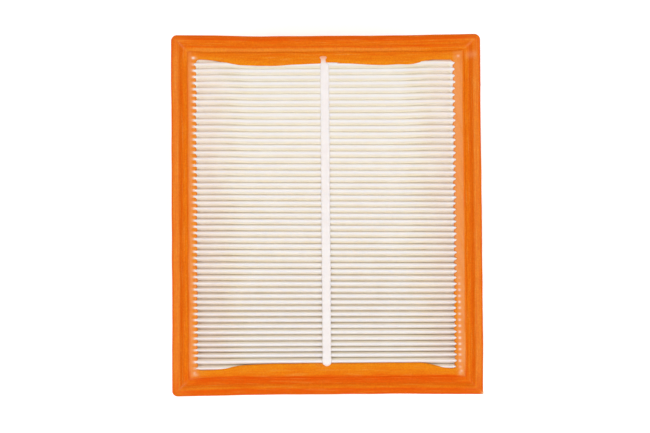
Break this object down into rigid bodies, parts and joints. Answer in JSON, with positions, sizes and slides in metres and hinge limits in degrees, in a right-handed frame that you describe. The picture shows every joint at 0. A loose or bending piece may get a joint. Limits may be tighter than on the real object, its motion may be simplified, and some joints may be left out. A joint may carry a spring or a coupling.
{
  "type": "air filter",
  "caption": "Rectangular panel air filter: a soft moulded seal frame cast around a deep pack of pleated paper, held in place by hot-melt glue.",
  "frame": {"origin": "middle of the face that the filter rests on, under the folds", "axes": "+Z from the dirty-air side to the clean-air side, where the sealing ridge is; +X along the pleats; +Y across the pleats, towards the tail of the glue bead"},
  "size_m": [0.183, 0.213, 0.045],
  "materials": {
    "pu_foam": "satin moulded skin",
    "filter_paper": "matt, faintly fibrous",
    "hot_melt": "smooth, slightly waxy"
  },
  "bodies": {
    "root": {"seal_frame": "pu_foam", "pleated_media": "filter_paper", "front_glue_bead": "hot_melt", "back_glue_bead": "hot_melt", "left_edge_seals": "hot_melt", "right_edge_seals": "hot_melt"}
  },
  "joints": []
}
